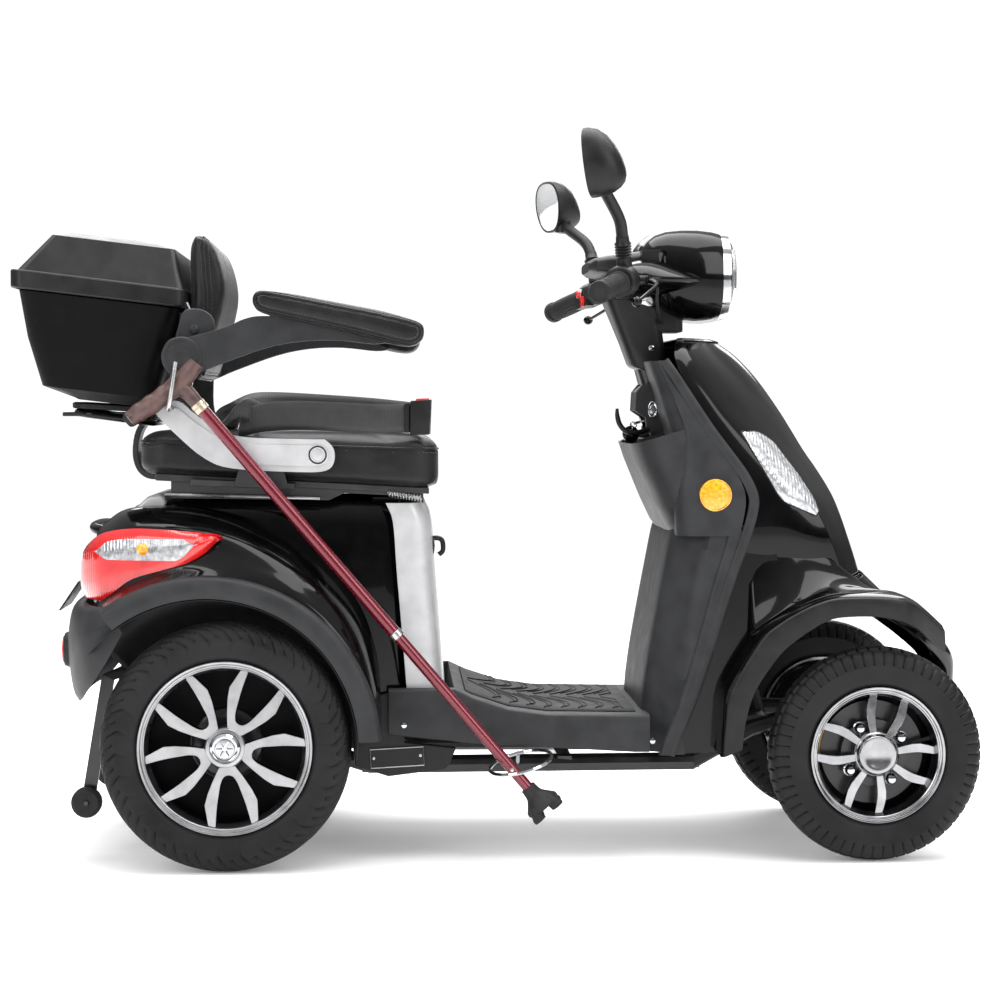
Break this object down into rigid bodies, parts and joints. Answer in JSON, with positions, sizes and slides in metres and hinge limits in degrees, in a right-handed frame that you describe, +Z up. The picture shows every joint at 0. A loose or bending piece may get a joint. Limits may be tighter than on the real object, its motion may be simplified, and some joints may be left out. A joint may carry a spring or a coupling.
{
  "type": "mobility scooter",
  "caption": "Four-wheel electric mobility scooter with padded seat, lifting armrests, lockable top box, tiller handlebar, deck and a stowed walking cane.",
  "frame": {"origin": "on the ground, under the middle of the scooter's length and width", "axes": "+X forwards, +Y to the rider's left, +Z up"},
  "size_m": [1.6025, 0.695, 1.2067],
  "materials": {
    "frame_steel": "semi-gloss black powder coat",
    "gloss_black": "high gloss",
    "matt_grey": "matt moulded",
    "black_plastic": "satin",
    "black_vinyl": "grained vinyl",
    "webbing": "woven",
    "tyre": "matt",
    "soft_rubber": "matt",
    "alloy": "machined",
    "silver": "satin silver",
    "chrome": "bright",
    "red_lens": "clear gloss",
    "clear_lens": "clear",
    "red_button": "satin",
    "cane_enamel": "metallic burgundy enamel"
  },
  "bodies": {
    "chassis": {"main_frame": "frame_steel", "rear_axle_motor": "frame_steel", "battery_pack": "black_plastic", "front_axle_beam": "frame_steel", "rear_body_shell": "gloss_black", "seat_base_front": "silver", "rear_wing_left": "gloss_black", "rear_wing_right": "gloss_black", "rear_wheel_flare_left": "matt_grey", "rear_wheel_flare_right": "matt_grey", "tail_light_left": "red_lens", "tail_light_right": "red_lens", "rear_bumper": "matt_grey", "rear_grab_bar": "black_plastic", "footboard": "matt_grey", "leg_shield": "matt_grey", "storage_bin": "matt_grey", "front_cowl": "gloss_black", "front_nose": "gloss_black", "front_fender_left": "gloss_black", "front_fender_right": "gloss_black", "cane_ring": "chrome"},
    "steering": {"handlebar_and_stem": "frame_steel", "headlight_and_dash_housing": "gloss_black", "headlight_lens": "clear_lens", "grip_left": "soft_rubber"},
    "track_rod": {"track_rod": "frame_steel"},
    "throttle": {"throttle_grip": "soft_rubber"},
    "horn_button": {"horn_button": "red_button"},
    "key": {"ignition_key": "chrome"},
    "seat": {"seat_frame": "frame_steel", "seat_cushion": "black_vinyl", "lap_belt": "webbing", "backrest_cushion": "black_vinyl", "box_tub": "gloss_black", "side_bar_left": "silver", "side_bar_right": "silver"},
    "box_lid": {"box_lid": "black_plastic"},
    "box_latch": {"box_latch": "black_plastic"},
    "cane": {"walking_cane": "cane_enamel"},
    "knuckle_left": {"steering_knuckle_left": "frame_steel"},
    "front_wheel_left": {"front_tyre_left": "tyre", "front_rim_left": "alloy"},
    "rear_wheel_left": {"rear_tyre_left": "tyre", "rear_rim_left": "alloy"},
    "anti_tip_wheel_left": {"anti_tip_wheel_left": "soft_rubber"},
    "brake_lever_left": {"brake_lever_left": "black_plastic"},
    "mirror_left": {"mirror_left": "black_plastic"},
    "armrest_left": {"armrest_left": "matt_grey", "armrest_pad_left": "black_vinyl"},
    "knuckle_right": {"steering_knuckle_right": "frame_steel"},
    "front_wheel_right": {"front_tyre_right": "tyre", "front_rim_right": "alloy"},
    "rear_wheel_right": {"rear_tyre_right": "tyre", "rear_rim_right": "alloy"},
    "anti_tip_wheel_right": {"anti_tip_wheel_right": "soft_rubber"},
    "brake_lever_right": {"brake_lever_right": "black_plastic"},
    "mirror_right": {"mirror_right": "black_plastic"},
    "armrest_right": {"armrest_right": "matt_grey", "armrest_pad_right": "black_vinyl"}
  },
  "joints": [
    {"name": "steering_turn", "type": "hinge", "parent": "chassis", "child": "steering", "pos_m": [0.26575, 0, 0.82], "axis": [-0.2924, 0, 0.9563], "range_deg": [-43.5, 36.5]},
    {"name": "knuckle_turn_left", "type": "hinge", "parent": "chassis", "child": "knuckle_left", "pos_m": [0.61975, 0.185, 0.178], "axis": [0, 0, 1], "range_deg": [-26.2, 22]},
    {"name": "front_wheel_spin_left", "type": "hinge", "parent": "knuckle_left", "child": "front_wheel_left", "pos_m": [0.61744, 0.24796, 0.178], "axis": [-0.0366, 0.9993, 0], "continuous": true},
    {"name": "rear_wheel_spin_left", "type": "hinge", "parent": "chassis", "child": "rear_wheel_left", "pos_m": [-0.44425, 0.303, 0.203], "axis": [0, 1, 0], "continuous": true},
    {"name": "anti_tip_spin_left", "type": "hinge", "parent": "chassis", "child": "anti_tip_wheel_left", "pos_m": [-0.68425, 0.158, 0.093], "axis": [0, 1, 0], "continuous": true},
    {"name": "brake_lever_pull_left", "type": "hinge", "parent": "steering", "child": "brake_lever_left", "pos_m": [0.23559, 0.1615, 0.9571], "axis": [-0.0005, 0.0178, 0.9998], "range_deg": [0, 10], "stiffness_Nm_per_rad": 2, "springref_deg": -2.86},
    {"name": "mirror_swivel_left", "type": "hinge", "parent": "steering", "child": "mirror_left", "pos_m": [0.19414, 0.16393, 0.97706], "axis": [-0.0005, 0.0178, 0.9998], "range_deg": [-15, 15]},
    {"name": "armrest_lift_left", "type": "hinge", "parent": "seat", "child": "armrest_left", "pos_m": [-0.51525, 0.26, 0.832], "axis": [0, -1, 0], "range_deg": [0, 95]},
    {"name": "knuckle_turn_right", "type": "hinge", "parent": "chassis", "child": "knuckle_right", "pos_m": [0.61975, -0.185, 0.178], "axis": [0, 0, 1], "range_deg": [-26.2, 22]},
    {"name": "front_wheel_spin_right", "type": "hinge", "parent": "knuckle_right", "child": "front_wheel_right", "pos_m": [0.62206, -0.24796, 0.178], "axis": [-0.0366, 0.9993, 0], "continuous": true},
    {"name": "rear_wheel_spin_right", "type": "hinge", "parent": "chassis", "child": "rear_wheel_right", "pos_m": [-0.44425, -0.303, 0.203], "axis": [0, 1, 0], "continuous": true},
    {"name": "anti_tip_spin_right", "type": "hinge", "parent": "chassis", "child": "anti_tip_wheel_right", "pos_m": [-0.68425, -0.158, 0.093], "axis": [0, 1, 0], "continuous": true},
    {"name": "brake_lever_pull_right", "type": "hinge", "parent": "steering", "child": "brake_lever_right", "pos_m": [0.25433, -0.15892, 0.96283], "axis": [0.0005, -0.0178, -0.9998], "range_deg": [0, 10], "stiffness_Nm_per_rad": 2, "springref_deg": -2.86},
    {"name": "mirror_swivel_right", "type": "hinge", "parent": "steering", "child": "mirror_right", "pos_m": [0.21341, -0.16546, 0.98295], "axis": [-0.0005, 0.0178, 0.9998], "range_deg": [-15, 15]},
    {"name": "armrest_lift_right", "type": "hinge", "parent": "seat", "child": "armrest_right", "pos_m": [-0.51525, -0.26, 0.832], "axis": [0, -1, 0], "range_deg": [0, 95]},
    {"name": "track_rod_shift", "type": "slide", "parent": "chassis", "child": "track_rod", "axis": [0, 1, 0], "range_m": [-0.036, 0.0425]},
    {"name": "throttle_twist", "type": "hinge", "parent": "steering", "child": "throttle", "pos_m": [0.20116, -0.19628, 0.95638], "axis": [-0.3485, -0.9217, -0.1702], "range_deg": [0, 55], "stiffness_Nm_per_rad": 0.3, "springref_deg": -5.73},
    {"name": "horn_press", "type": "slide", "parent": "steering", "child": "horn_button", "axis": [0.9983, 0.0584, -0.0005], "range_m": [0, 0.0025], "stiffness_N_per_m": 400, "springref_m": -0.0005},
    {"name": "key_turn", "type": "hinge", "parent": "chassis", "child": "key", "pos_m": [0.26124, 0, 0.726], "axis": [-0.9563, 0, -0.2924], "range_deg": [0, 90]},
    {"name": "seat_tip", "type": "hinge", "parent": "chassis", "child": "seat", "pos_m": [-0.13225, 0, 0.6], "axis": [0, 1, 0], "range_deg": [0, 36]},
    {"name": "lid_open", "type": "hinge", "parent": "seat", "child": "box_lid", "pos_m": [-0.79625, 0, 0.946], "axis": [0, -1, 0], "range_deg": [0, 75]},
    {"name": "latch_press", "type": "slide", "parent": "seat", "child": "box_latch", "axis": [0, 0, -1], "range_m": [0, 0.006], "stiffness_N_per_m": 300, "springref_m": -0.002},
    {"name": "cane_lift", "type": "slide", "parent": "chassis", "child": "cane", "axis": [-0.6499, 0, 0.76], "range_m": [0, 0.04]}
  ],
  "couplings": [
    {"joint": "knuckle_turn_left", "follows": "steering_turn", "ratio": 0.6},
    {"joint": "knuckle_turn_right", "follows": "steering_turn", "ratio": 0.6},
    {"joint": "track_rod_shift", "follows": "steering_turn", "m_per_rad": -0.054}
  ]
}
